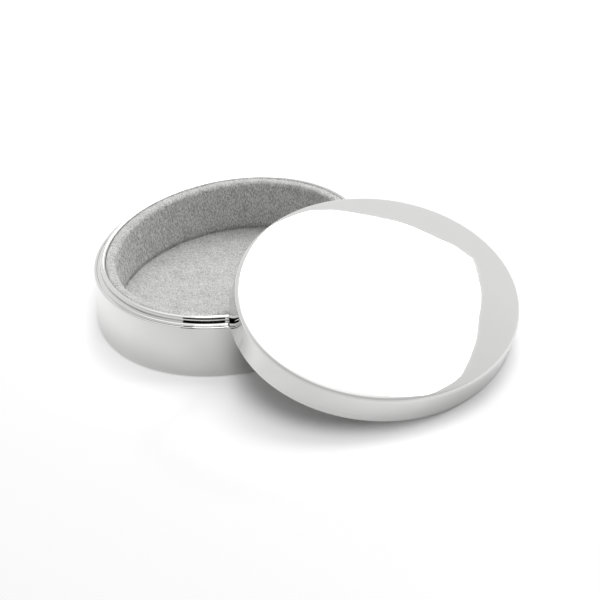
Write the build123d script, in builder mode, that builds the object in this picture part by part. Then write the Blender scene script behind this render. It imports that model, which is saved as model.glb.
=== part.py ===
from build123d import *
from math import cos, hypot, pi, radians, sin, tan
import os

# Tooth keepsake box: a low oval tub of mirror-plated metal with a slip-on domed lid, lined with velvet.
# Millimetres. X is the long axis of the oval, Z is up, and the origin is the middle of the underside.

# Outline, shared by the tub and the lid
oval_length = 60.0
oval_width = 49.5

# Tub
shell_wall = 0.5
shell_floor = 0.6
shoulder_height = 10.75
base_radius = 0.5
shoulder_radius = 0.2

# Lid; the dome is drawn past the skirt by the overhang, and the skirt trims it
skirt_height = 5.5
lid_wall = 0.85
lid_top = 0.8
lid_edge_radius = 0.8
mouth_edge_radius = 0.15
dome_rise = 2.5
dome_edge_angle = 12.0
dome_overhang = 1.0
edge_search = 0.1

# Neck ring: a sleeve set inside the tub, whose upper part stands up as the neck that the lid slips over
lid_slip = 0.4
neck_rise = 1.43
neck_wall = 0.95
neck_crown_radius = 0.45
cove_radius = 0.5
foot_edge_radius = 0.1
sleeve_depth = 3.0

# Wall lining: card and wadding under a velvet cover that rolls over their top edge
wall_card = 0.5
wall_wadding = 0.8
wall_velvet = 0.55
lining_drop = 0.25
roll_outer_radius = 0.4
roll_inner_radius = 0.9

# Floor lining: a velvet-covered card dropped between the wall linings
floor_card = 0.4
floor_velvet = 0.5
floor_edge_radius = 0.2

# Lid lining: a flat velvet-covered card under the dome
lid_card = 0.5
lid_velvet = 0.6

# Clearances between glued or seated pieces, and all round the lid's lining
glue_line = 0.02
drop_in_gap = 0.05

# Leaning lid: one edge on the surface beside the tub, the mouth's rim across the neck at two places
lean_overlap = 17.83
lean_side = -0.55
lean_heading = -1.7
lean_turn = -3.9
lean_gap = 0.05

# Heights, insets and roundings that follow; a rounding is no larger than its wall allows
neck_inset = lid_wall + lid_slip
foot_width = neck_inset - shell_wall - glue_line
cove = min(cove_radius, foot_width - 2 * foot_edge_radius)
crown_radius = min(neck_crown_radius, 0.475 * neck_wall)
rim_top = shoulder_height + neck_rise
lining_inset = neck_inset + neck_wall + glue_line
wadding_inset = lining_inset + wall_card + glue_line
velvet_inset = wadding_inset + wall_wadding + glue_line
well_inset = velvet_inset + wall_velvet
lining_top = rim_top - lining_drop
card_top = lining_top - wall_velvet - glue_line
floor_card_top = shell_floor + floor_card


def oval(inset):
    """The shared outline, drawn smaller all round by the inset."""
    Ellipse(oval_length / 2 - inset, oval_width / 2 - inset)


def domed_block(inset, dome_base):
    """A block on the oval at this inset, from zero up to a cushion-shaped dome that springs at dome_base."""
    half_length = oval_length / 2 - inset
    half_width = oval_width / 2 - inset
    edge_fall = (cos(radians(dome_edge_angle)), -sin(radians(dome_edge_angle)))
    brim = (half_length + dome_overhang, -dome_overhang * tan(radians(dome_edge_angle)))
    underside = -dome_base - dome_overhang
    with BuildPart(mode=Mode.PRIVATE) as turned:
        with BuildSketch(Plane.XZ):
            with BuildLine():
                Spline((0, dome_rise), (half_length, 0), brim, tangents=((1, 0), edge_fall))
                Polyline(brim, (brim[0], underside), (0, underside), (0, dome_rise))
            make_face()
        revolve(axis=Axis.Z)
    cushion = scale(turned.part, by=(1, half_width / half_length, 1), mode=Mode.PRIVATE)
    with BuildPart(mode=Mode.PRIVATE) as block:
        with BuildSketch():
            oval(inset)
        extrude(amount=dome_base + dome_rise + dome_overhang)
        add(cushion.moved(Location((0, 0, dome_base))), mode=Mode.INTERSECT)
    return block.part


def rim_clearance(tilt):
    """How far the leaning lid's mouth stays above the neck, at the closest point under the skirt's edge."""
    shift = (lean_side, lean_overlap - oval_width, lid_height(tilt))
    heading, turn, lean = radians(lean_heading), radians(lean_turn), radians(tilt)
    nearest = rim_top
    for step in range(720):
        around = step * pi / 360
        for slice_angle in range(0, 181, 10):
            inset = neck_inset + crown_radius * (1 - cos(radians(slice_angle)))
            x = (oval_length / 2 - inset) * cos(around) - shift[0]
            y = (oval_width / 2 - inset) * sin(around) - shift[1]
            z = rim_top - crown_radius * (1 - sin(radians(slice_angle))) - shift[2]
            x, y = x * cos(heading) + y * sin(heading), y * cos(heading) - x * sin(heading)
            y, z = y * cos(lean) + z * sin(lean), z * cos(lean) - y * sin(lean)
            x, y = x * cos(turn) + y * sin(turn), y * cos(turn) - x * sin(turn)
            outside = hypot(x / (oval_length / 2), y / (oval_width / 2)) > 1
            inside = hypot(x / (oval_length / 2 - lid_wall), y / (oval_width / 2 - lid_wall)) < 1
            if not outside and not inside:
                nearest = min(nearest, -z)
    return nearest


def lid_height(tilt):
    """Height of the middle of the leaning lid's mouth, with its rounded lower edge resting at zero."""
    turn, lean = radians(lean_turn), radians(tilt)
    half_length = oval_length / 2 - mouth_edge_radius
    half_width = oval_width / 2 - mouth_edge_radius
    reach = hypot(half_length * sin(turn), half_width * cos(turn))
    return reach * sin(lean) + mouth_edge_radius * (1 - cos(lean))


# The tilt at which the lid clears the neck by the named gap, found by halving
low_tilt, high_tilt = 1.0, 60.0
while high_tilt - low_tilt > 0.001:
    lean_tilt = (low_tilt + high_tilt) / 2
    if rim_clearance(lean_tilt) < lean_gap:
        low_tilt = lean_tilt
    else:
        high_tilt = lean_tilt

leaning = (
    Location((lean_side, lean_overlap - oval_width, lid_height(lean_tilt)), (0, 0, lean_heading))
    * Location((0, 0, 0), (lean_tilt, 0, 0))
    * Location((0, 0, 0), (0, 0, lean_turn))
)

os.makedirs("parts", exist_ok=True)

# Tub: wall and floor in one pressing, rounded under the base and at the shoulder's outer edge
with BuildPart() as body_shell:
    with BuildSketch():
        oval(0)
    extrude(amount=shoulder_height)
    fillet(body_shell.edges().group_by(Axis.Z)[0], base_radius)
    fillet(body_shell.edges().group_by(Axis.Z)[-1], shoulder_radius)
    with BuildSketch(Plane.XY.offset(shell_floor)):
        oval(shell_wall)
    extrude(amount=shoulder_height, mode=Mode.SUBTRACT)
body_shell.part.label = "body_shell"
export_step(body_shell.part, "parts/body_shell.step")

# Neck ring: the sleeve hides in the tub, its foot closes the shoulder and sweeps up in a cove to the neck
with BuildPart() as neck_ring:
    with BuildSketch(Plane.XY.offset(shoulder_height - sleeve_depth)):
        oval(shell_wall + glue_line)
    extrude(amount=sleeve_depth)
    fillet(neck_ring.edges().group_by(Axis.Z)[-1], foot_edge_radius)
    with BuildSketch(Plane.XY.offset(shoulder_height)):
        oval(neck_inset)
    extrude(amount=neck_rise)
    cove_edge = neck_ring.edges().filter_by_position(Axis.Z, shoulder_height, shoulder_height)
    fillet(cove_edge.sort_by(SortBy.LENGTH)[0], cove)
    with BuildSketch(Plane.XY.offset(shoulder_height - sleeve_depth)):
        oval(neck_inset + neck_wall)
    extrude(amount=sleeve_depth + neck_rise, mode=Mode.SUBTRACT)
    fillet(neck_ring.edges().group_by(Axis.Z)[-1], crown_radius)
neck_ring.part.label = "neck_ring"
export_step(neck_ring.part, "parts/neck_ring.step")

# Wall card: a strip bent round the inside of the neck ring, standing on the tub's floor
with BuildPart() as wall_board:
    with BuildSketch(Plane.XY.offset(shell_floor)):
        oval(lining_inset)
        with BuildSketch(mode=Mode.SUBTRACT):
            oval(lining_inset + wall_card)
    extrude(amount=card_top - shell_floor)
wall_board.part.label = "wall_board"
export_step(wall_board.part, "parts/wall_board.step")

# Wall wadding: glued to the card, under the velvet
with BuildPart() as wall_padding:
    with BuildSketch(Plane.XY.offset(shell_floor)):
        oval(wadding_inset)
        with BuildSketch(mode=Mode.SUBTRACT):
            oval(wadding_inset + wall_wadding)
    extrude(amount=card_top - shell_floor)
wall_padding.part.label = "wall_padding"
export_step(wall_padding.part, "parts/wall_padding.step")

# Wall velvet: the well's face, rolled over the top edge of the card and the wadding
with BuildPart() as wall_lining:
    with BuildSketch(Plane.XY.offset(shell_floor)):
        oval(lining_inset)
    extrude(amount=lining_top - shell_floor)
    fillet(wall_lining.edges().group_by(Axis.Z)[-1], roll_outer_radius)
    with BuildSketch(Plane.XY.offset(shell_floor)):
        oval(well_inset)
    extrude(amount=lining_top - shell_floor, mode=Mode.SUBTRACT)
    fillet(wall_lining.edges().group_by(Axis.Z)[-1].sort_by(SortBy.LENGTH)[0], roll_inner_radius)
    with BuildSketch(Plane.XY.offset(shell_floor)):
        oval(lining_inset)
        with BuildSketch(mode=Mode.SUBTRACT):
            oval(velvet_inset)
    extrude(amount=card_top + glue_line - shell_floor, mode=Mode.SUBTRACT)
wall_lining.part.label = "wall_lining"
export_step(wall_lining.part, "parts/wall_lining.step")

# Floor card, dropped in between the wall linings
with BuildPart() as floor_board:
    with BuildSketch(Plane.XY.offset(shell_floor)):
        oval(well_inset + drop_in_gap)
    extrude(amount=floor_card)
floor_board.part.label = "floor_board"
export_step(floor_board.part, "parts/floor_board.step")

# Floor velvet, glued on the card
with BuildPart() as floor_lining:
    with BuildSketch(Plane.XY.offset(floor_card_top)):
        oval(well_inset + drop_in_gap)
    extrude(amount=floor_velvet)
    fillet(floor_lining.edges().group_by(Axis.Z)[-1], floor_edge_radius)
floor_lining.part.label = "floor_lining"
export_step(floor_lining.part, "parts/floor_lining.step")

# Lid: an upright skirt under a low dome, drawn with its mouth at zero and then laid where it leans
with BuildPart() as lid_shell:
    add(domed_block(0, skirt_height))
    low, high = skirt_height - edge_search, skirt_height + edge_search
    fillet(lid_shell.edges().filter_by_position(Axis.Z, low, high), lid_edge_radius)
    fillet(lid_shell.edges().group_by(Axis.Z)[0], mouth_edge_radius)
    add(domed_block(lid_wall, skirt_height - lid_top), mode=Mode.SUBTRACT)
lid_shell.part.move(leaning)
lid_shell.part.label = "lid_shell"
export_step(lid_shell.part, "parts/lid_shell.step")

# Lid card: flat, held at its edge where the dome springs from the skirt
with BuildPart() as lid_board:
    with BuildSketch(Plane.XY.offset(skirt_height - lid_top - glue_line)):
        oval(lid_wall + drop_in_gap)
    extrude(amount=-lid_card)
lid_board.part.move(leaning)
lid_board.part.label = "lid_board"
export_step(lid_board.part, "parts/lid_board.step")

# Lid velvet, glued under the lid's card
with BuildPart() as lid_lining:
    with BuildSketch(Plane.XY.offset(skirt_height - lid_top - lid_card - 2 * glue_line)):
        oval(lid_wall + drop_in_gap)
    extrude(amount=-lid_velvet)
lid_lining.part.move(leaning)
lid_lining.part.label = "lid_lining"
export_step(lid_lining.part, "parts/lid_lining.step")
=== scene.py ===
# %% [markdown]
# # A plated oval keepsake box, with its lid leaning on the rim
# The real object is a small pressed-metal tub with a mirror plating, a velvet-lined well, and a slip-on
# lid with a low dome. The lid has been lifted off and laid down: one side rests on the table, the other
# lies across the neck of the tub.
# The CAD model already knows every size and place, so the lesson starts by loading it. Everything that
# is made here goes into that same frame, in metres, and only adds what CAD can't show: mirror metal,
# soft velvet, light and a camera.

# %% Load the measured box
import math
import bmesh
import bpy
import numpy as np
from mathutils import Matrix, Vector


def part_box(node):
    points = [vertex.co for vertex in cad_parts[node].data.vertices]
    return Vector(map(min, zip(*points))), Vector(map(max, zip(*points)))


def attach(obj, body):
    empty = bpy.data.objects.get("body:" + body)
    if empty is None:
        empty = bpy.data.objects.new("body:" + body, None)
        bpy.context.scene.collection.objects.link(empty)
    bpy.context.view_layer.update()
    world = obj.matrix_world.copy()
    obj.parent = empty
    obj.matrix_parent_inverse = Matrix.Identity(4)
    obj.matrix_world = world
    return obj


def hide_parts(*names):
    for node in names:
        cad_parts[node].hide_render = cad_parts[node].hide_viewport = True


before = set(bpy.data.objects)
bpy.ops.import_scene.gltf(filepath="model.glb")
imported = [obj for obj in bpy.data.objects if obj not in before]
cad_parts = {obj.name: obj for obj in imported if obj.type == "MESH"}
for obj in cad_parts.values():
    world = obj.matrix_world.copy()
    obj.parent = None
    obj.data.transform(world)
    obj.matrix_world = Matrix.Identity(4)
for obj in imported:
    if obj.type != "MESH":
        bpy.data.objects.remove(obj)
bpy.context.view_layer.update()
print("nodes:", sorted(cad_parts))

# %% [markdown]
# ## The sizes that the pieces share
# Tub, neck, lid and linings are all drawn on one oval. A smaller oval is the same one with both half
# axes made shorter by the same amount, which a maker would call its inset. So a shape is a list of
# (inset, height) points, turned round the oval. The lid is drawn the same way and then put in its leaning
# place, which is given here too, in millimetres and degrees, because the table's shadow follows it.
# Millimetres are easier to read in such lists, and one constant turns them into the frame's metres.

# %% Shared sizes, in millimetres
MM = 0.001
HALF_LENGTH = 30.0
HALF_WIDTH = 24.75
SHOULDER = 10.75
RIM = 12.18
SHELL_FLOOR = 0.6
NECK_INSET = 1.25
LINING_INSET = 2.22
WELL_INSET = 4.11
LINING_TOP = 11.93
FLOOR_VELVET_LOW = 1.0
FLOOR_VELVET_TOP = 1.5
LID_PLACE = (-0.55, -31.67, 7.2766)
LEAN_HEADING = -1.7
LEAN_TILT = 17.1697
LEAN_TURN = -3.9
print("oval:", 2 * HALF_LENGTH, "by", 2 * HALF_WIDTH, "mm; the lid leans by", LEAN_TILT, "degrees")

# %% [markdown]
# ## The camera
# The photograph was taken from a little above, with a long lens, from the side where the lid covers the
# front right of the tub. A camera could be aimed at the object by a constraint, but the photograph isn't
# centred on anything. So its place, lens and two angles were found by fitting the oval's edges to the
# picture, and are given here as numbers.

# %% Camera
LENS = 98.96
CAMERA_PLACE = (-0.22023, -0.16397, 0.17106)
LOOKING_DOWN = 32.13
LOOKING_TOWARDS = -55.93
lens_view = bpy.data.cameras.new("still_life_camera")
lens_view.sensor_width = 36.0
lens_view.lens = LENS
lens_view.clip_start = 0.01
lens_view.clip_end = 20.0
camera = bpy.data.objects.new("still_life_camera", lens_view)
bpy.context.scene.collection.objects.link(camera)
camera.location = CAMERA_PLACE
camera.rotation_euler = (math.radians(90.0 - LOOKING_DOWN), 0.0, math.radians(LOOKING_TOWARDS))
bpy.context.scene.camera = camera
bpy.context.scene.view_settings.view_transform = "Standard"
print("camera at", tuple(round(v, 3) for v in camera.location))

# %% [markdown]
# ## Small helpers for node materials
# A finish in Blender is a little network of nodes. Writing the same three lines for each node soon hides
# the idea, so two helpers make a node and join two sockets, and a third starts a finish with its shader.
# In all that follows, a socket is given as its node and its name or number, such as (noise, "Fac").

# %% Node helpers
WHITE = (1.0, 1.0, 1.0, 1.0)


def add_node(tree, kind, settings=None, **inputs):
    """A node of this kind; settings are its own properties and inputs are the values of its sockets."""
    node = tree.nodes.new("ShaderNode" + kind)
    for key, value in (settings or {}).items():
        setattr(node, key, value)
    for key, value in inputs.items():
        node.inputs[key.replace("_", " ")].default_value = value
    return node


def join(tree, source, target):
    """Joins an output to an input, each given as (node, socket name or number)."""
    tree.links.new(source[0].outputs[source[1]], target[0].inputs[target[1]])


def new_finish(name):
    """An empty material with one Principled shader, returned as (material, tree, shader)."""
    finish = bpy.data.materials.new(name)
    finish.use_nodes = True
    tree = finish.node_tree
    return finish, tree, tree.nodes["Principled BSDF"]


print("node helpers:", add_node.__name__, join.__name__, new_finish.__name__)

# %% [markdown]
# Four more helpers are for sums and patterns: the math of two outputs, a smooth step from one value to
# another, a colour that runs between two tones, and a bump that raises the surface. Each returns a
# socket, or ends at the shader, so that a finish reads from its pattern to its surface.

# %% Helpers for sums, tones and bumps
def math_of(tree, operation, first, second):
    """The math of two outputs."""
    result = add_node(tree, "Math", {"operation": operation})
    join(tree, first, (result, 0))
    join(tree, second, (result, 1))
    return result, 0


def smooth_step(tree, source, reach, values):
    """The first value before the reach and the second after it, with a smooth change between."""
    step = add_node(tree, "MapRange", {"interpolation_type": "SMOOTHSTEP"},
                    From_Min=reach[0], From_Max=reach[1], To_Min=values[0], To_Max=values[1])
    join(tree, source, (step, "Value"))
    return step, "Result"


def two_tones(tree, source, dark, light, reach=(0.0, 1.0)):
    """A colour that goes from dark to light over this reach of a pattern."""
    ramp = add_node(tree, "ValToRGB")
    for stop, place, tone in zip(ramp.color_ramp.elements, reach, (dark, light)):
        stop.position = place
        stop.color = tone + (1.0,)
    join(tree, source, (ramp, "Fac"))
    return ramp, "Color"


def raise_surface(tree, source, shader, strength, distance):
    """Raises the surface by a pattern, as a bump."""
    bump = add_node(tree, "Bump", Strength=strength, Distance=distance)
    join(tree, source, (bump, "Height"))
    join(tree, (bump, "Normal"), (shader, "Normal"))


print("pattern helpers:", math_of.__name__, smooth_step.__name__, two_tones.__name__, raise_surface.__name__)

# %% [markdown]
# ## The table
# The photograph's ground is pure white up to the box, and only the shadow under the leaning lid is left.
# A photographer gets that by brightening the sheet round the object afterwards. More lamps could do it
# here, but they would wash out the metal and the velvet too. So light is painted onto the sheet: an
# emission that only the camera and mirror reflections see. It lights nothing else, and it paints out the
# shadow round the tub, so that only the shadow under the lid stays. The first helper tells such rays from
# soft light. The plating gets a smaller share of the painted light than the camera does, because a sheet
# that is brightened afterwards stays as it was in the reflections.

# %% Who sees the lift
def seen_directly(tree, mirror_share=1.0):
    """One for rays from the camera or through glass, this share for mirror rays, zero for soft light."""
    path = add_node(tree, "LightPath")
    mirrored = add_node(tree, "Math", {"operation": "MULTIPLY"})
    mirrored.inputs[1].default_value = mirror_share
    join(tree, (path, "Is Glossy Ray"), (mirrored, 0))
    first = add_node(tree, "Math", {"operation": "ADD", "use_clamp": True})
    join(tree, (path, "Is Camera Ray"), (first, 0))
    join(tree, (mirrored, 0), (first, 1))
    both = add_node(tree, "Math", {"operation": "ADD", "use_clamp": True})
    join(tree, (first, 0), (both, 0))
    join(tree, (path, "Is Transmission Ray"), (both, 1))
    return both, 0


PAINTED_LIGHT_IN_MIRROR = 0.8
print("the plating sees", PAINTED_LIGHT_IN_MIRROR, "of the table's lift")

# %% [markdown]
# The painted light follows the footprints of the tub and the lid on the table, so it needs to know how
# far out a point of the sheet lies, where one is the edge of a footprint. Object coordinates give the
# point in metres, a Mapping node turns them into shares of the oval, and the length of that is the answer.

# %% Distance from a footprint
def share_of_footprint(tree, middle, half_axes, heading=0.0):
    """How far out a point of the sheet lies, where one is the edge of an oval footprint."""
    where = add_node(tree, "TexCoord")
    level = add_node(tree, "Mapping", {"vector_type": "TEXTURE"})
    level.inputs["Location"].default_value = tuple(v * MM for v in middle) + (0.0,)
    level.inputs["Rotation"].default_value = (0.0, 0.0, math.radians(heading))
    level.inputs["Scale"].default_value = tuple(v * MM for v in half_axes) + (1.0,)
    join(tree, (where, "Object"), (level, "Vector"))
    out_share = add_node(tree, "VectorMath", {"operation": "LENGTH"})
    join(tree, (level, "Vector"), (out_share, 0))
    return out_share, "Value"


LID_FOOTPRINT = (HALF_LENGTH, 23.9)
LID_FOOTPRINT_HEADING = -5.5
print("the lid's footprint is", 2 * LID_FOOTPRINT[0], "by", 2 * LID_FOOTPRINT[1], "mm")

# %% [markdown]
# The sheet itself is one large white square with no shine. Its painted light is nothing under the lid,
# so the real shadow stays there. It is strongest just outside the two footprints on the tub's side, where
# it paints out the tub's shadow, and fades away. A second, far emission keeps the far sheet white, where
# the lamp no longer reaches.

# %% Table sheet
# Painted light: the sheet's emission paints out the shadow round the tub and keeps the shadow under the lid;
# these numbers place and size it.
PAINTED_LIGHT_NEAR = 0.36
LID_SHADOW = (0.83, 1.055)
PAINTED_LIGHT_FADE = (1.08, 1.70)
PAINTED_LIGHT_SIDE = (-0.030, -0.002)
FAR_LIFT = 0.6
FAR_LIFT_SHARES = (2.8, 14.0)
SHEET_REACH = 3.0
sheet_mesh = bpy.data.meshes.new("table_sheet")
sheet_corners = [(SHEET_REACH * x, SHEET_REACH * y, 0) for x, y in ((-1, -1), (1, -1), (1, 1), (-1, 1))]
sheet_mesh.from_pydata(sheet_corners, [], [(0, 1, 2, 3)])
table = bpy.data.objects.new("table_sheet", sheet_mesh)
bpy.context.scene.collection.objects.link(table)
white_sheet, tree, shader = new_finish("white_sheet")
shader.inputs["Base Color"].default_value = WHITE
shader.inputs["Roughness"].default_value = 1.0
shader.inputs["Specular IOR Level"].default_value = 0.0
shader.inputs["Emission Color"].default_value = WHITE
from_tub = share_of_footprint(tree, (0.0, 0.0), (HALF_LENGTH, HALF_WIDTH))
from_lid = share_of_footprint(tree, LID_PLACE[:2], LID_FOOTPRINT, LID_FOOTPRINT_HEADING)
across_table = add_node(tree, "SeparateXYZ")
join(tree, (add_node(tree, "TexCoord"), "Object"), (across_table, 0))
clear_of_lid = smooth_step(tree, from_lid, LID_SHADOW, (0.0, PAINTED_LIGHT_NEAR))
close_by = smooth_step(tree, math_of(tree, "MINIMUM", from_tub, from_lid), PAINTED_LIGHT_FADE, (1.0, 0.0))
front_left = smooth_step(tree, (across_table, "X"), PAINTED_LIGHT_SIDE, (1.0, 0.0))
far_away = smooth_step(tree, from_tub, FAR_LIFT_SHARES, (0.0, FAR_LIFT))
painted_light = math_of(tree, "MULTIPLY", math_of(tree, "MULTIPLY", clear_of_lid, close_by), front_left)
# The far sheet's white, which stands in for the lamp where it fades, is added to the painted light.
painted_light = math_of(tree, "ADD", painted_light, far_away)
painted_light = math_of(tree, "MULTIPLY", painted_light, seen_directly(tree, PAINTED_LIGHT_IN_MIRROR))
join(tree, painted_light, (shader, "Emission Strength"))
sheet_mesh.materials.append(white_sheet)
print("table sheet:", 2 * SHEET_REACH, "m square, lifted by at most", PAINTED_LIGHT_NEAR)

# %% [markdown]
# ## The room
# Mirror plating has no look of its own: it shows the room. Real walls could be modelled, or a picture of
# a studio wrapped round the scene, but three plain tones are enough and stay easy to change. The
# reflections in the photograph say that the room is white beyond the box, dimmer on the camera's side and
# brighter straight overhead, so the world changes with direction in those three ways. Soft light comes
# evenly from all sides, a little weaker than what a mirror sees, to leave work for the lamp.

# %% World that is white ahead, bright overhead and dimmer behind the camera
FAR_WHITE = 1.0
NEAR_GREY = 0.80
CEILING_GLOW = 0.6
SOFT_LEVEL = 0.44
TOWARDS_CAMERA = (-0.80, -0.60, 0.0)
CAMERA_SIDE = (-0.1, 0.55)
OVERHEAD = (0.70, 0.95)
room = bpy.data.worlds.new("studio_room")
room.use_nodes = True
bpy.context.scene.world = room
tree = room.node_tree
tree.nodes.clear()
towards = add_node(tree, "TexCoord")
camera_side = add_node(tree, "VectorMath", {"operation": "DOT_PRODUCT"})
camera_side.inputs[1].default_value = TOWARDS_CAMERA
join(tree, (towards, "Generated"), (camera_side, 0))
upward = add_node(tree, "SeparateXYZ")
join(tree, (towards, "Generated"), (upward, 0))
walls = smooth_step(tree, (camera_side, "Value"), CAMERA_SIDE, (FAR_WHITE, NEAR_GREY))
ceiling = smooth_step(tree, (upward, "Z"), OVERHEAD, (0.0, CEILING_GLOW))
print("room:", FAR_WHITE, "ahead,", NEAR_GREY, "behind the camera,", CEILING_GLOW, "more overhead")

# %% [markdown]
# Two switches choose what a ray sees. A mirror ray sees the room with its tones, and soft light sees one
# even level. The camera itself sees plain white, which is the photograph's background.

# %% What each ray sees of the room
either_room = add_node(tree, "Mix", {"data_type": "FLOAT"})
either_room.inputs[2].default_value = SOFT_LEVEL
join(tree, seen_directly(tree), (either_room, 0))
join(tree, math_of(tree, "ADD", walls, ceiling), (either_room, 3))
white_ground = add_node(tree, "Mix", {"data_type": "FLOAT"})
white_ground.inputs[3].default_value = 1.0
join(tree, (add_node(tree, "LightPath"), "Is Camera Ray"), (white_ground, 0))
join(tree, (either_room, 0), (white_ground, 2))
glow = add_node(tree, "Background", Color=WHITE)
join(tree, (white_ground, 0), (glow, "Strength"))
join(tree, (glow, 0), (add_node(tree, "OutputWorld"), 0))
print("soft light from the room:", SOFT_LEVEL)

# %% [markdown]
# ## The lamp
# One large rectangular softbox hangs above and beyond the box, tipped a little towards it. A sun lamp
# would light the box as well, but a mirror shows the lamp's own shape, so it has to be an area lamp. Its
# picture fills most of the lid and ends in two nearly straight edges, which is how its place was worked
# out: each edge pixel was mirrored in the dome and followed up to the plane of the lamp.

# %% Softbox
BOX_DISTANCE = 0.70
BOX_REACH = (0.0, 1.065)
BOX_SIDE = (-0.80, 0.015)
BOX_HEADING = 33.85
BOX_TIP = -5.53
BOX_ROLL = 3.65
SOFTBOX_WATTS = 9.7
box_turn = (Matrix.Rotation(math.radians(BOX_HEADING), 4, "Z")
            @ Matrix.Rotation(math.radians(BOX_TIP), 4, "X")
            @ Matrix.Rotation(math.radians(BOX_ROLL), 4, "Y"))
softbox_lamp = bpy.data.lights.new("softbox", "AREA")
softbox_lamp.shape = "RECTANGLE"
softbox_lamp.size = BOX_REACH[1] - BOX_REACH[0]
softbox_lamp.size_y = BOX_SIDE[1] - BOX_SIDE[0]
softbox_lamp.energy = SOFTBOX_WATTS
softbox = bpy.data.objects.new("softbox", softbox_lamp)
bpy.context.scene.collection.objects.link(softbox)
box_middle = Vector((sum(BOX_REACH) / 2, sum(BOX_SIDE) / 2, BOX_DISTANCE))
softbox.matrix_world = box_turn @ Matrix.Translation(box_middle)
softbox.visible_camera = False
print("softbox at", tuple(round(v, 3) for v in softbox.location))

# %% [markdown]
# ## A black card by the neck
# The neck shows short black lines at its front, which a photographer of silver makes on purpose: a small
# black card is held close to the metal, just out of the picture, to give the bright edge a contrast.
# The lines could be painted on the neck, but then they would stay there from every side, which a
# reflection doesn't do. So the card is upright and facing the neck, as in a studio, but it is a painted
# reflection: only mirror rays of about the neck's distance see it, so it paints dark lines into the neck
# and into little else.

# %% Black card
CARD_FROM = Vector((-23.5, -13.5, 0.0))
CARD_HEADING = math.radians(216.7)
CARD_DISTANCE = 6.0
CARD_SIDES = (-9.6, 2.4)
CARD_HEIGHTS = (8.0, 16.5)
ahead = Vector((math.cos(CARD_HEADING), math.sin(CARD_HEADING), 0.0))
aside = Vector((-math.sin(CARD_HEADING), math.cos(CARD_HEADING), 0.0))
card_corners = []
for side, height in ((1, 0), (0, 0), (0, 1), (1, 1)):
    corner = CARD_FROM + ahead * CARD_DISTANCE + aside * CARD_SIDES[side]
    card_corners.append(tuple((corner + Vector((0.0, 0.0, CARD_HEIGHTS[height]))) * MM))
card_mesh = bpy.data.meshes.new("card_by_the_neck")
card_mesh.from_pydata(card_corners, [], [(0, 1, 2, 3)])
neck_card = bpy.data.objects.new("card_by_the_neck", card_mesh)
bpy.context.scene.collection.objects.link(neck_card)
neck_card.visible_camera = False
neck_card.visible_diffuse = False
neck_card.visible_shadow = False
card_faces = tuple(round(v, 2) for v in card_mesh.polygons[0].normal)
print("black card", CARD_DISTANCE, "mm in front of the neck, facing", card_faces)

# %% [markdown]
# Only mirror reflections see the card, so it blocks no light and shows in no view itself. The lid should
# mirror as little of it as possible, so the card is no higher than the lid's far edge and its back is
# clear, and it is there only for a reflection that comes from about as far as the neck, which the Ray
# Length tells. From behind the tub, the lid's skirt still mirrors a dark patch of it, 1 to 2 mm wide.

# %% Black card's surface
CARD_SEEN_FROM = (5.0, 9.0)
CARD_BLACK = (0.004, 0.004, 0.004, 1.0)
card_black, tree, shader = new_finish("card_black")
shader.inputs["Base Color"].default_value = CARD_BLACK
shader.inputs["Roughness"].default_value = 1.0
shader.inputs["Specular IOR Level"].default_value = 0.0
# Painted reflection: the card is black only to rays between 5 and 9 mm long, and see-through to all others.
in_reach = add_node(tree, "Math", {"operation": "COMPARE"})
in_reach.inputs[1].default_value = MM * sum(CARD_SEEN_FROM) / 2
in_reach.inputs[2].default_value = MM * (CARD_SEEN_FROM[1] - CARD_SEEN_FROM[0]) / 2
join(tree, (add_node(tree, "LightPath"), "Ray Length"), (in_reach, 0))
out_of_reach = add_node(tree, "Math", {"operation": "SUBTRACT"})
out_of_reach.inputs[0].default_value = 1.0
join(tree, (in_reach, 0), (out_of_reach, 1))
from_behind = (add_node(tree, "NewGeometry"), "Backfacing")
black_or_clear = add_node(tree, "MixShader")
join(tree, math_of(tree, "MAXIMUM", from_behind, (out_of_reach, 0)), (black_or_clear, 0))
join(tree, (shader, "BSDF"), (black_or_clear, 1))
join(tree, (add_node(tree, "BsdfTransparent"), "BSDF"), (black_or_clear, 2))
join(tree, (black_or_clear, "Shader"), (tree.nodes["Material Output"], "Surface"))
card_mesh.materials.append(card_black)
print("black card is there for reflections from", CARD_SEEN_FROM[0], "to", CARD_SEEN_FROM[1], "mm away")

# %% [markdown]
# ## Turning a section round the oval
# Lathe work on an oval is the same as on a circle: draw the section once and carry it round. Blender's
# Screw modifier only knows circles, so the rings are written out as points instead. Extra points close
# to each end of a straight run keep smooth shading from bending the reflection near a rounded edge.

# %% Sections
def bend(inset, height, radius, start, end, steps=10):
    """Points of a rounding; zero degrees points outward and 90 up."""
    angles = np.radians(np.linspace(start, end, steps + 1))
    return [(inset - radius * math.cos(a), height + radius * math.sin(a)) for a in angles]


def run(start, end, hold=0.03):
    """Points of a straight stretch, with one close to each end."""
    start, end = np.array(start, float), np.array(end, float)
    length = np.linalg.norm(end - start)
    near = min(hold / length, 0.3)
    return [tuple(start + (end - start) * share) for share in (0.0, near, 0.5, 1.0 - near, 1.0)]


def tidy(section):
    """The section without points that repeat."""
    kept = [section[0]]
    for point in section[1:]:
        if math.dist(point, kept[-1]) > 1e-4:
            kept.append(point)
    return kept


print("a quarter bend has", len(bend(0.0, 0.0, 1.0, 0, 90)), "points")

# %% [markdown]
# A section point becomes a ring of points on its oval. A flat bottom is filled with a few smaller rings
# and a middle point, because one large many-sided face would shade badly on a mirror.

# %% Rings
AROUND = 480


def ring(inset, height, around=AROUND):
    """The oval at this inset and height, in millimetres, with this many points."""
    turns = np.arange(around) * 2 * math.pi / around
    return np.column_stack([(HALF_LENGTH - inset) * np.cos(turns), (HALF_WIDTH - inset) * np.sin(turns),
                            height + np.zeros(around)])


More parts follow.
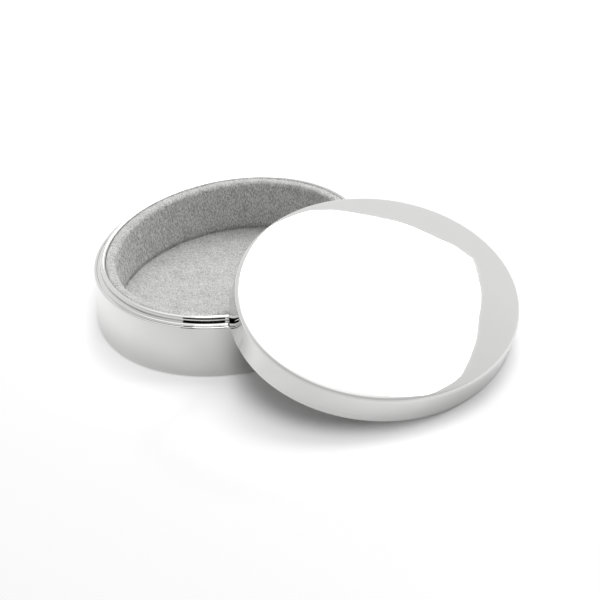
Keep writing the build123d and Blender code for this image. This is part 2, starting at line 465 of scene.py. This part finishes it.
def disc(inset, height, shares=(0.02, 0.25, 0.5, 0.75)):
    """Rings that fill the oval at this inset, from the middle outward."""
    edge = ring(inset, height)
    middle = np.array([[0.0, 0.0, float(height)]])
    return [middle] + [edge * (share, share, 1.0) for share in shares]


print("rings of", AROUND, "points")

# %% [markdown]
# ## From rings to a mesh
# Between two rings lie four-sided faces, and where a ring closes on a middle point, triangles. A flat
# map of the same grid is worked out with them, so that a finish can later be painted onto the mesh
# without cutting it into scraps. Its rows are as high as the rings are apart, which keeps it in shape.

# %% Faces between rings
def faces_between(rings, pairs):
    """Faces between these pairs of rings, and the flat map's place for each corner of each face."""
    starts = np.cumsum([0] + [len(points) for points in rings[:-1]]).tolist()
    around = max(len(points) for points in rings)
    gaps = [np.linalg.norm(rings[a] - rings[b], axis=1).mean() + 0.02 for a, b in pairs]
    levels = np.concatenate([[0.0], np.cumsum(gaps)]) / sum(gaps)
    faces, maps = [], []
    for row, (a, b) in enumerate(pairs):
        low, high = levels[row], levels[row + 1]
        if len(rings[a]) == len(rings[b]) == 1:
            continue
        for k in range(around):
            after = (k + 1) % around
            left, right = k / around, (k + 1) / around
            if len(rings[a]) == 1:
                faces.append((starts[a], starts[b] + after, starts[b] + k))
                maps += [((left + right) / 2, low), (right, high), (left, high)]
            elif len(rings[b]) == 1:
                faces.append((starts[a] + k, starts[a] + after, starts[b]))
                maps += [(left, low), (right, low), ((left + right) / 2, high)]
            else:
                faces.append((starts[a] + k, starts[a] + after, starts[b] + after, starts[b] + k))
                maps += [(left, low), (right, low), (right, high), (left, high)]
    return faces, maps


square = [ring(0.0, height, 4) for height in (0.0, 1.0)]
print("two rings of four points give", len(faces_between(square, [(0, 1)])[0]), "faces")

# %% [markdown]
# The skin is that mesh as an object. Its normals are turned outward by bmesh, which works the closed
# shape out for itself, and edges sharper than a given angle stay sharp in the smooth shading.

# %% Skin over rings
SHARP_ANGLE = math.radians(38.0)


def skin(name, rings, closed=False, place=Matrix.Identity(4)):
    """One mesh over a list of rings in millimetres, moved by place; closed joins the last to the first."""
    pairs = list(zip(range(len(rings) - 1), range(1, len(rings))))
    if closed:
        pairs.append((len(rings) - 1, 0))
    faces, maps = faces_between(rings, pairs)
    mesh = bpy.data.meshes.new(name)
    mesh.from_pydata([tuple(p) for p in np.vstack(rings) * MM], [], faces)
    flat_map = mesh.uv_layers.new(name="OFBake")
    flat_map.data.foreach_set("uv", np.array(maps, np.float32).ravel())
    mesh.transform(place)
    shape = bmesh.new()
    shape.from_mesh(mesh)
    bmesh.ops.recalc_face_normals(shape, faces=shape.faces)
    shape.to_mesh(mesh)
    shape.free()
    mesh.shade_smooth()
    mesh.set_sharp_from_angle(angle=SHARP_ANGLE)
    piece = bpy.data.objects.new(name, mesh)
    bpy.context.scene.collection.objects.link(piece)
    print(name, "has", len(mesh.vertices), "points and", len(mesh.polygons), "faces")
    return piece


print("edges stay sharp from", round(math.degrees(SHARP_ANGLE)), "degrees")

# %% [markdown]
# ## Mirror plating
# The metal is plated and polished until it mirrors the room, and it takes about a third of the light
# away, a little more where it is seen square on than at a slant. A plain grey would only look painted. A
# fully metallic shader mirrors the room, and Layer Weight tells it how square on the metal is seen.

# %% Plating tone
PLATE_SQUARE_ON = (0.60, 0.60, 0.595, 1.0)
PLATE_SLANTED = (0.69, 0.69, 0.685, 1.0)
SLANT = (0.2, 0.45)
CLOUDS = 90.0
CLOUD_REACH = (0.3, 0.75)
plating, tree, shader = new_finish("mirror_plating")
shader.inputs["Metallic"].default_value = 1.0
where = add_node(tree, "TexCoord")
cloud = add_node(tree, "TexNoise", Scale=CLOUDS, Detail=3.0, Roughness=0.5)
join(tree, (where, "Object"), (cloud, "Vector"))
slant = add_node(tree, "LayerWeight", Blend=0.5)
slanted = add_node(tree, "MapRange", From_Min=SLANT[0], From_Max=SLANT[1])
join(tree, (slant, "Facing"), (slanted, "Value"))
by_angle = add_node(tree, "MixRGB", Color1=PLATE_SQUARE_ON, Color2=PLATE_SLANTED)
join(tree, (slanted, "Result"), (by_angle, "Fac"))
cloudy = add_node(tree, "MapRange", From_Min=CLOUD_REACH[0], From_Max=CLOUD_REACH[1], To_Min=1.0, To_Max=0.98)
join(tree, (cloud, "Fac"), (cloudy, "Value"))
tint = add_node(tree, "HueSaturation")
join(tree, (cloudy, "Result"), (tint, "Value"))
join(tree, (by_angle, "Color"), (tint, "Color"))
join(tree, (tint, "Color"), (shader, "Base Color"))
print("plating mirrors", PLATE_SQUARE_ON[0], "to", PLATE_SLANTED[0], "of the light")

# %% [markdown]
# Real polish is never perfect. The same faint clouds vary the roughness, hair-fine wipe marks catch the
# light, and slow waves left by the polishing wheel bend the edges of the reflections a little. A dent
# that small is far below the mesh, so waves and marks are bumps, one laid over the other.

# %% Plating surface
POLISH = (0.025, 0.05)
WIPE_STRETCH = (900.0, 6000.0, 2500.0)
WIPE_TURN = (0.3, 0.2, 0.7)
WHEEL_WAVES = 115.0
haze = add_node(tree, "MapRange", From_Min=CLOUD_REACH[0], From_Max=CLOUD_REACH[1],
                To_Min=POLISH[0], To_Max=POLISH[1])
join(tree, (cloud, "Fac"), (haze, "Value"))
join(tree, (haze, "Result"), (shader, "Roughness"))
stretch = add_node(tree, "Mapping", Scale=WIPE_STRETCH, Rotation=WIPE_TURN)
join(tree, (where, "Object"), (stretch, "Vector"))
wipes = add_node(tree, "TexNoise", Scale=1.0, Detail=2.0)
join(tree, (stretch, "Vector"), (wipes, "Vector"))
polish = add_node(tree, "TexNoise", Scale=WHEEL_WAVES, Detail=1.0)
join(tree, (where, "Object"), (polish, "Vector"))
waves = add_node(tree, "Bump", Strength=0.4, Distance=0.0001)
join(tree, (polish, "Fac"), (waves, "Height"))
marks = add_node(tree, "Bump", Strength=0.02, Distance=0.00001)
join(tree, (waves, "Normal"), (marks, "Normal"))
join(tree, (wipes, "Fac"), (marks, "Height"))
join(tree, (marks, "Normal"), (shader, "Normal"))
print("plating is rough by", POLISH[0], "to", POLISH[1])

# %% [markdown]
# ## The tub
# The tub is one pressing: a flat underside, a small rounding where it meets the table, an upright wall
# and a soft edge at the shoulder. The CAD solid has the same shape and could stay, but its facets show
# in a mirror, so a finer skin of the same section takes its place.

# %% Tub
TUB_WALL = 0.5
BASE_ROUND = 0.5
SHOULDER_ROUND = 0.2
tub_section = (bend(BASE_ROUND, BASE_ROUND, BASE_ROUND, -90, 0)
               + run((0.0, BASE_ROUND), (0.0, SHOULDER - SHOULDER_ROUND))
               + bend(SHOULDER_ROUND, SHOULDER - SHOULDER_ROUND, SHOULDER_ROUND, 0, 90)
               + run((SHOULDER_ROUND, SHOULDER), (TUB_WALL, SHOULDER))
               + run((TUB_WALL, SHOULDER), (TUB_WALL, SHELL_FLOOR)))
tub_rings = disc(BASE_ROUND, 0.0) + [ring(*point) for point in tidy(tub_section)]
tub_rings += disc(TUB_WALL, SHELL_FLOOR)[::-1]
tub = skin("tub", tub_rings)
tub.data.materials.append(plating)
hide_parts("body_shell")
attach(tub, "box")

# %% [markdown]
# ## The neck
# A separate ring sits inside the tub. Its foot closes the shoulder, sweeps up in a small hollow and ends
# in a rounded rim, which the lid slips over. It could be part of the tub's section, but it is a piece of
# its own on the real box. The hollow matters: with the foot below it, it throws light straight back
# where it came from, and that is why the black lines at the front are so strong.

# %% Neck ring
NECK_WALL = 0.95
CROWN = 0.45
COVE = 0.5
SLEEVE = 3.0
SLEEVE_INSET = 0.52
FOOT_ROUND = 0.1
neck_back = NECK_INSET + NECK_WALL
foot_edge = SLEEVE_INSET + FOOT_ROUND
neck_section = (run((SLEEVE_INSET, SHOULDER - SLEEVE), (SLEEVE_INSET, SHOULDER - FOOT_ROUND))
                + bend(foot_edge, SHOULDER - FOOT_ROUND, FOOT_ROUND, 0, 90, 6)
                + run((foot_edge, SHOULDER), (NECK_INSET - COVE, SHOULDER))
                + bend(NECK_INSET - COVE, SHOULDER + COVE, COVE, 270, 180, 14)
                + run((NECK_INSET, SHOULDER + COVE), (NECK_INSET, RIM - CROWN))
                + bend(NECK_INSET + CROWN, RIM - CROWN, CROWN, 0, 90, 14)
                + bend(neck_back - CROWN, RIM - CROWN, CROWN, 90, 180, 14)
                + run((neck_back, RIM - CROWN), (neck_back, SHOULDER - SLEEVE))
                + run((neck_back, SHOULDER - SLEEVE), (SLEEVE_INSET, SHOULDER - SLEEVE)))
neck_rings = [ring(*point) for point in tidy(neck_section)[:-1]]
neck = skin("neck_ring_polished", neck_rings, closed=True)
neck.data.materials.append(plating)
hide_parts("neck_ring")
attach(neck, "box")

# %% [markdown]
# ## Where the lid lies
# The lid is easiest to draw level, with its mouth at zero. Then it is turned a few degrees, tipped until
# its far side lies on the neck, turned again, and set down so that its near edge touches the table. One
# matrix holds all four moves and goes into the mesh. The box round the lid's card in the CAD model is a
# good check that the lean is right.

# %% Lid's lean
LID_CARD_MIDDLE = 4.43
lean = (Matrix.Translation(Vector(LID_PLACE) * MM)
        @ Matrix.Rotation(math.radians(LEAN_HEADING), 4, "Z")
        @ Matrix.Rotation(math.radians(LEAN_TILT), 4, "X")
        @ Matrix.Rotation(math.radians(LEAN_TURN), 4, "Z"))
card_low, card_high = (Vector(corner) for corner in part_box("lid_board"))
card_middle = lean @ (Vector((0.0, 0.0, LID_CARD_MIDDLE)) * MM)
print("lid card is off by", round(((card_low + card_high) / 2 - card_middle).length / MM, 3), "mm")

# %% [markdown]
# ## The lid
# The dome is a cushion: nearly flat in the middle and steeper towards the edge, where a small rounding
# turns it into the upright skirt. A subdivided cage could give it, but a mirror shows every ripple of a
# cage, so the height is worked out for each point from its distance to the middle, as a sum of a square
# and a cube, which is how the CAD curve runs. In its last two millimetres the dome falls off by a hair
# more, as the white reflection along the real lid's edge shows.

# %% Dome
SKIRT = 5.5
LID_WALL = 0.85
LID_TOP = 0.8
DOME_RISE = 2.5
EDGE_FALL = 0.13
EDGE_ZONE = 2.0
OUTER_CUBE_SHARE = 0.5345
INNER_CUBE_SHARE = 0.461


def dome_height(points, half_length, half_width, spring, cube_share):
    """Height of a cushion dome over points of the oval with these half axes."""
    out_share = np.hypot(points[:, 0] / half_length, points[:, 1] / half_width)
    return spring + DOME_RISE * (1 - (1 - cube_share) * out_share ** 2 - cube_share * out_share ** 3)


def outer_dome(points):
    """The outer dome, which falls off a little more steeply just before its edge."""
    out_share = np.hypot(points[:, 0] / HALF_LENGTH, points[:, 1] / HALF_WIDTH)
    turn = np.arctan2(points[:, 1] / HALF_WIDTH, points[:, 0] / HALF_LENGTH)
    inset = (1 - out_share) / (np.cos(turn) ** 2 / HALF_LENGTH + np.sin(turn) ** 2 / HALF_WIDTH)
    fall = EDGE_FALL * np.clip(1 - inset / EDGE_ZONE, 0, 1) ** 3
    return dome_height(points, HALF_LENGTH, HALF_WIDTH, SKIRT, OUTER_CUBE_SHARE) - fall


def inner_dome(points):
    """The underside of the dome, on the smaller oval inside the skirt."""
    half_length, half_width = HALF_LENGTH - LID_WALL, HALF_WIDTH - LID_WALL
    return dome_height(points, half_length, half_width, SKIRT - LID_TOP, INNER_CUBE_SHARE)


print("dome tops at", round(float(outer_dome(np.zeros((1, 3)))[0]), 2), "mm above the mouth")

# %% [markdown]
# The rounding between skirt and dome is an arc that meets both without a corner. It is worked out at
# each point of the oval, because the dome is steeper across the oval than along it, and one arc for all
# of them would leave a crease.

# %% Edge rounding
EDGE_ROUND = 0.8


def edge_rounding(steps=24):
    """Rings of the small rounding between the skirt and the dome, fitted at every point of the oval."""
    step = 0.01
    edge = ring(0.0, 0.0)
    inward = edge * (-1 / HALF_LENGTH, -1 / HALF_WIDTH, 0.0)
    slope = np.arctan((outer_dome(ring(step, 0.0)) - outer_dome(edge)) / step)
    last = edge + inward * (EDGE_ROUND * (1 - np.sin(slope)))[:, None]
    base = outer_dome(last) - EDGE_ROUND * np.cos(slope)
    rings = []
    for share in np.linspace(0.0, 1.0, steps + 1):
        angle = share * (math.pi / 2 - slope)
        points = edge + inward * (EDGE_ROUND * (1 - np.cos(angle)))[:, None]
        points[:, 2] = base + EDGE_ROUND * np.sin(angle)
        rings.append(points)
    return rings


rounding = edge_rounding()
print("edge rounding starts", round(float(rounding[0][:, 2].min()), 3), "mm above the mouth")

# %% [markdown]
# The dome's rings run from the rounding to the middle. They lie close together near the edge, where
# the reflection changes fastest, and further apart over the calm middle.

# %% Rings over a dome
SHARES = [0.9993, 0.998, 0.996] + list(np.linspace(0.992, 0.02, 64))


def dome_rings(edge, surface, shares):
    """Rings from just inside an edge to a middle point, lifted onto a surface."""
    rings = []
    for share in shares:
        points = edge * (share, share, 1.0)
        points[:, 2] = surface(points)
        rings.append(points)
    middle = np.array([[0.0, 0.0, 0.0]])
    middle[:, 2] = surface(middle)
    return rings + [middle]


print("the dome has", len(SHARES), "rings and a middle point")

# %% [markdown]
# The lid is one closed skin: up the skirt from the mouth, over the dome to the middle, back under the
# dome and down inside the skirt. Drawn this way the metal has its real thickness everywhere, so no
# Solidify modifier is needed, which would give the thin mouth a square edge.

# %% Lid
MOUTH_ROUND = 0.15
INNER_MOUTH_ROUND = 0.05
inner_lip = LID_WALL - INNER_MOUTH_ROUND
skirt_top = rounding[0]
lid_rings = [ring(*point) for point in bend(MOUTH_ROUND, MOUTH_ROUND, MOUTH_ROUND, -90, 0, 6)]
for share in (0.01, 0.5, 0.99):
    points = ring(0.0, 0.0)
    points[:, 2] = MOUTH_ROUND + (skirt_top[:, 2] - MOUTH_ROUND) * share
    lid_rings.append(points)
lid_rings += rounding + dome_rings(rounding[-1], outer_dome, SHARES)
under_edge = ring(LID_WALL, 0.0)
under_edge[:, 2] = inner_dome(under_edge)
lid_rings += dome_rings(under_edge, inner_dome, SHARES[::3])[::-1]
inside = (run((LID_WALL, SKIRT - LID_TOP), (LID_WALL, INNER_MOUTH_ROUND))
          + bend(inner_lip, INNER_MOUTH_ROUND, INNER_MOUTH_ROUND, 180, 270, 4)
          + run((inner_lip, 0.0), (MOUTH_ROUND, 0.0)))
lid_rings += [ring(*point) for point in tidy(inside)[:-1]]
lid = skin("lid", lid_rings, closed=True, place=lean)
lid.data.materials.append(plating)
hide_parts("lid_shell")
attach(lid, "lid")
print("lid rings:", len(lid_rings))

# %% [markdown]
# ## Velvet
# Velvet is a cloth with a standing pile, about half a millimetre deep. What the eye reads as velvet is
# not a weave but tufts: small groups of fibres that lean their own way, so that some look light and some
# dark. Real fibres would take millions of faces, so the tufts are modelled in the mesh, at about 0.15 mm
# to a face, and the single fibres are left to the finish: streaks of light and dark along the pile, a
# fine bump, and sheen, which is the light that velvet catches at a glancing angle.

# %% Velvet finish
PILE_DARK = 0.35
PILE_LIGHT = 0.80
PILE_REACH = (0.42, 0.58)
PATCHES = 420.0
PATCH_SHARE = 0.10


def velvet_finish(name, streaks, turn=0.0):
    """Velvet whose streaks have these scales along x, y and z, turned about z."""
    finish, tree, shader = new_finish(name)
    shader.inputs["Roughness"].default_value = 0.9
    shader.inputs["Specular IOR Level"].default_value = 0.15
    shader.inputs["Sheen Weight"].default_value = 0.35
    shader.inputs["Sheen Roughness"].default_value = 0.45
    where = add_node(tree, "TexCoord")
    aim = add_node(tree, "Mapping", Scale=streaks, Rotation=(0.0, 0.0, turn))
    join(tree, (where, "Object"), (aim, "Vector"))
    fibres = add_node(tree, "TexNoise", Scale=1.0, Detail=3.0, Roughness=0.7)
    join(tree, (aim, "Vector"), (fibres, "Vector"))
    patches = add_node(tree, "TexNoise", Scale=PATCHES, Detail=2.0, Roughness=0.5)
    join(tree, (where, "Object"), (patches, "Vector"))
    blend = add_node(tree, "Mix", {"data_type": "FLOAT"})
    blend.inputs[0].default_value = PATCH_SHARE
    join(tree, (fibres, "Fac"), (blend, 2))
    join(tree, (patches, "Fac"), (blend, 3))
    dark, light = (tuple(v * share for share in (1.0, 1.0, 0.985)) for v in (PILE_DARK, PILE_LIGHT))
    join(tree, two_tones(tree, (blend, 0), dark, light, PILE_REACH), (shader, "Base Color"))
    raise_surface(tree, (fibres, "Fac"), shader, 0.5, 0.0001)
    return finish


STREAKS_ACROSS = 5600.0
wall_velvet_finish = velvet_finish("velvet_standing", (STREAKS_ACROSS, STREAKS_ACROSS, 2000.0))
floor_velvet_finish = velvet_finish("velvet_lying", (7200.0, 5200.0, 7000.0), turn=0.6)
print("velvet streaks are about", round(1 / (MM * STREAKS_ACROSS), 2), "mm wide")

# %% [markdown]
# Tufts need the same randomness each time, so a seeded generator fills a grid, and the grid is smoothed
# a little further along the pile than across it. Smoothing wraps round, which suits a closed oval. A
# hair system could grow the pile, but the exported model would lose it.

# %% Tufts
def smooth_round(grid, along, across):
    """Blurs a grid by these many cells down and across, joining its opposite edges."""
    rows = np.fft.fftfreq(grid.shape[0])[:, None]
    columns = np.fft.fftfreq(grid.shape[1])[None, :]
    soften = np.exp(-2 * math.pi ** 2 * ((rows * along) ** 2 + (columns * across) ** 2))
    blurred = np.real(np.fft.ifft2(np.fft.fft2(grid) * soften))
    return blurred / blurred.std()


def tufts(rows, columns, seed, along=1.6, across=0.8):
    """Tuft heights with a spread of about one, most of them fine and some broad."""
    dice = np.random.default_rng(seed)
    fine = smooth_round(dice.standard_normal((rows, columns)), along, across)
    broad = smooth_round(dice.standard_normal((rows, columns)), along * 3, across * 3)
    return 0.98 * fine + 0.2 * broad


def lie(rows, columns, seed, cells):
    """Slow unevenness of a hand-glued lining, with a spread of one."""
    dice = np.random.default_rng(seed)
    return smooth_round(dice.standard_normal((rows, columns)), cells, cells)


print("tufts spread by", round(float(tufts(60, 60, 1).std()), 2))

# %% [markdown]
# ## The wall lining
# The strip of velvet is glued round the inside of the wall over card and wadding, and rolls over their
# top edge into the gap behind the neck. Cloth simulation suits a loose cushion, but a thin glued strip
# hardly moves, so its shape is drawn: a section with small equal faces, and the way each of its points
# faces, to push it out later.

# %% Wall velvet's section
CELL = 0.15
ROLL_IN = 0.9
ROLL_OUT = 0.4
VELVET_FOOT = 0.64
WADDING_SIDE = 3.57
TUCKED_EDGE = 11.39


def even_steps(section, step):
    """The same line with its points this far apart."""
    section = np.array(section)
    spans = np.hypot(*np.diff(section, axis=0).T)
    reached = np.concatenate([[0.0], np.cumsum(spans)])
    marks = np.linspace(0.0, reached[-1], int(round(reached[-1] / step)) + 1)
    return np.column_stack([np.interp(marks, reached, section[:, k]) for k in (0, 1)])


face_section = ([(WELL_INSET, VELVET_FOOT), (WELL_INSET, LINING_TOP - ROLL_IN)]
                + bend(WELL_INSET - ROLL_IN, LINING_TOP - ROLL_IN, ROLL_IN, 180, 90, 12)
                + bend(LINING_INSET + ROLL_OUT, LINING_TOP - ROLL_OUT, ROLL_OUT, 90, 0, 8))
face = even_steps(tidy(face_section), CELL)
behind = [(inset, TUCKED_EDGE) for inset in (LINING_INSET + 0.02, 3.0, WADDING_SIDE - 0.01)]
behind += [(WADDING_SIDE, height) for height in (8.0, 4.0, VELVET_FOOT)]
turned = np.gradient(face, axis=0)
outward = np.column_stack([turned[:, 1], -turned[:, 0]])
outward /= np.linalg.norm(outward, axis=1)[:, None]
print("wall section has", len(face), "points; it faces", tuple(outward[3].round(2)))

# %% [markdown]
# It is still a soft piece: the wadding swells it a little at half its height, the roll is fuller in some
# places than in others, the foot tucks in behind the floor's velvet, and the pile breaks up every
# outline. So the section is carried round the oval, and each point is pushed out by the sum of these.

# %% Wall velvet, pushed out by its tufts
WALL_COLUMNS = 960
TUFT = 0.045
SWELL = 0.12
UNEVEN = 0.04
TUCK = 0.22
TUCK_REACH = 0.4
HIDDEN_BAND = 0.25
SET_BACK = 0.02


def wall_rings():
    """Rings of the wall lining: its tufted face, then the smooth back against wadding and card."""
    inset, height = face[:, 0], face[:, 1]
    rows = len(face)
    reach_up = (height - height[0]) / (height.max() - height[0])
    swell = SWELL * np.sin(math.pi * np.clip(reach_up, 0, 1)) ** 1.5
    hidden = np.clip((LINING_INSET + HIDDEN_BAND - inset) / HIDDEN_BAND, 0, 1) * (height < LINING_TOP - 0.05)
    tuck = TUCK * np.exp(-((height - FLOOR_VELVET_TOP) / TUCK_REACH) ** 2) * (inset > WELL_INSET - 0.01)
    push = TUFT * tufts(rows, WALL_COLUMNS, seed=11) + UNEVEN * lie(rows, WALL_COLUMNS, 12, 26)
    push = (push + swell[:, None]) * (1 - hidden)[:, None] - SET_BACK - tuck[:, None]
    rings = []
    for point, (inward, up), out in zip(face, outward, push):
        rings.append(ring(point[0] + inward * out, point[1] + up * out, WALL_COLUMNS))
    return rings + [ring(*point, WALL_COLUMNS) for point in behind]


wall_velvet = skin("wall_velvet", wall_rings(), closed=True)
wall_velvet.data.materials.append(wall_velvet_finish)
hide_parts("wall_lining")
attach(wall_velvet, "box")

# %% [markdown]
# ## The floor of the well
# A velvet-covered card is dropped between the wall linings, so there is a fuzzy dark joint all round it.
# A round grid would crowd its faces at the middle, so a square grid is pressed into the oval instead,
# which keeps the tufts about the same size everywhere.

# %% A square grid pressed into an oval
def oval_grid(cells, half_length, half_width):
    """Points of a square grid pressed into an oval, as two arrays, and each point's share of the way out."""
    marks = np.linspace(-1.0, 1.0, cells + 1)
    u, v = np.meshgrid(marks, marks, indexing="ij")
    x = u * np.sqrt(1 - v ** 2 / 2)
    y = v * np.sqrt(1 - u ** 2 / 2)
    return half_length * x, half_width * y, np.minimum(np.hypot(x, y), 1.0)


print("the grid's corner lies", round(float(oval_grid(2, 1.0, 1.0)[2][0, 0]), 2), "of the way out")

# %% [markdown]
# A flat velvet is that grid with its tufts, a rounded edge, plain sides and a flat back. The tufts are a
# little lower at the edge, where the pile is pressed against its neighbour.

# %% Flat velvet
SLACK = 0.012
SIDE_GAP = 0.05


def flat_velvet(name, cells, half_length, half_width, low, high, seed, place=Matrix.Identity(4), edge=0.35):
    """A tufted oval of velvet from height low up to high, with a flat back and a soft edge."""
    count = cells + 1
    x, y, out = oval_grid(cells, half_length, half_width)
    from_edge = np.clip((1 - out) * half_width / edge, 0, 1)
    soft_edge = edge * (1 - np.sqrt(1 - (1 - from_edge) ** 2))
    top = high - soft_edge + TUFT * tufts(count, count, seed, 0.9, 1.3) * (0.4 + 0.6 * from_edge)
    top += SLACK * lie(count, count, seed + 1, 18) * from_edge
    points = np.column_stack([x.ravel(), y.ravel(), top.ravel()])
    index = np.arange(count * count).reshape(count, count)
    quads = np.stack([index[:-1, :-1], index[1:, :-1], index[1:, 1:], index[:-1, 1:]], axis=-1).reshape(-1, 4)
    rim = np.concatenate([index[:-1, 0], index[-1, :-1], index[:0:-1, -1], index[0, :0:-1]])
    foot = points[rim] * (1, 1, 0) + (0, 0, low)
    lower = len(points) + np.arange(len(rim))
    sides = np.stack([rim, lower, np.roll(lower, -1), np.roll(rim, -1)], axis=-1)
    mesh = bpy.data.meshes.new(name)
    mesh.from_pydata((np.vstack([points, foot]) * MM).tolist(), [],
                     quads.tolist() + sides.tolist() + [lower[::-1].tolist()])
    mesh.transform(place)
    mesh.shade_smooth()
    piece = bpy.data.objects.new(name, mesh)
    bpy.context.scene.collection.objects.link(piece)
    print(name, "has", len(mesh.polygons), "faces")
    return piece


floor_inset = WELL_INSET + SIDE_GAP
floor_velvet = flat_velvet("floor_velvet", 280, HALF_LENGTH - floor_inset, HALF_WIDTH - floor_inset,
                           FLOOR_VELVET_LOW + 0.02, FLOOR_VELVET_TOP, 21)
floor_velvet.data.materials.append(floor_velvet_finish)
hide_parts("floor_lining")
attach(floor_velvet, "box")

# %% [markdown]
# ## Inside the lid
# The lid has a flat velvet lining too, on a card that sits where the dome springs from the skirt. It
# faces down, so the same flat velvet is made upside down in the lid's own frame and then leaned with it.

# %% Lid velvet
LINING_LOW = 3.56
LINING_HIGH = 4.16
lid_inset = LID_WALL + SIDE_GAP
upside_down = (Matrix.Translation(Vector((0.0, 0.0, LINING_LOW + LINING_HIGH)) * MM)
               @ Matrix.Rotation(math.pi, 4, "X"))
lid_velvet = flat_velvet("lid_velvet", 240, HALF_LENGTH - lid_inset, HALF_WIDTH - lid_inset,
                         LINING_LOW + 0.01, LINING_HIGH, 31, place=lean @ upside_down)
lid_velvet.data.materials.append(floor_velvet_finish)
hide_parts("lid_lining")
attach(lid_velvet, "lid")

# %% [markdown]
# ## Wadding
# Between the card and the velvet of the wall lies a strip of wadding, which nobody sees once the box is
# made, but which gives the wall its soft swell. A plain ring would do for something hidden, but whoever
# takes the model apart should find wadding, so it is a lumpy strip that thins out at both edges.

# %% Wadding
WADDING_OUT = 2.76
WADDING_IN = 3.53
WADDING_TOP = 11.32
WADDING_FOOT = SHELL_FLOOR + 0.04
WADDING_ROWS = 36
WADDING_COLUMNS = 320
LUMP = 0.03
THINNING = 0.16
lumps = LUMP * lie(WADDING_ROWS, WADDING_COLUMNS, 41, 2.5)
wadding_rings = []
for row, height in enumerate(np.linspace(WADDING_FOOT, WADDING_TOP, WADDING_ROWS)):
    thinned = THINNING * (abs(2 * row / (WADDING_ROWS - 1) - 1) ** 6)
    wadding_rings.append(ring(WADDING_IN - 0.06 - thinned + lumps[row], height, WADDING_COLUMNS))
for height in (WADDING_TOP, WADDING_FOOT):
    wadding_rings.append(ring(WADDING_OUT, height, WADDING_COLUMNS))
wadding = skin("wall_wadding", wadding_rings, closed=True)
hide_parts("wall_padding")
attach(wadding, "box")

# %% [markdown]
# Wadding is a loose felt of pale fibres. A noise that is bent by its own distortion looks like fibres
# that cross each other, and gives both the tone and a fluffy bump.

# %% Wadding finish
STRANDS_ACROSS = 2600.0
wadding_finish, tree, shader = new_finish("wadding_fibre")
shader.inputs["Roughness"].default_value = 1.0
strands = add_node(tree, "TexNoise", Scale=STRANDS_ACROSS, Detail=4.0, Distortion=1.5)
join(tree, (add_node(tree, "TexCoord"), "Object"), (strands, "Vector"))
pale = two_tones(tree, (strands, "Fac"), (0.55, 0.54, 0.51), (0.82, 0.81, 0.78))
join(tree, pale, (shader, "Base Color"))
raise_surface(tree, (strands, "Fac"), shader, 0.6, 0.0001)
wadding.data.materials.append(wadding_finish)
print("wadding strands are about", round(1 / (MM * STRANDS_ACROSS), 2), "mm wide")

# %% [markdown]
# ## Card
# The three cards keep their CAD shapes, which are right as they are: flat board with cut edges. They
# only get a finish, the look of grey board with a fibrous surface, put in each node's material slots.

# %% Card finish
card_finish, tree, shader = new_finish("grey_board")
shader.inputs["Roughness"].default_value = 0.85
shader.inputs["Specular IOR Level"].default_value = 0.3
pulp = add_node(tree, "TexNoise", Scale=1500.0, Detail=5.0, Roughness=0.65)
join(tree, (add_node(tree, "TexCoord"), "Object"), (pulp, "Vector"))
board = two_tones(tree, (pulp, "Fac"), (0.30, 0.29, 0.27), (0.46, 0.45, 0.42), (0.3, 0.7))
join(tree, board, (shader, "Base Color"))
raise_surface(tree, (pulp, "Fac"), shader, 0.3, 0.00005)
for name in ("wall_board", "floor_board", "lid_board"):
    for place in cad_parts[name].material_slots:
        place.material = card_finish
    print(name, "is finished as grey board")
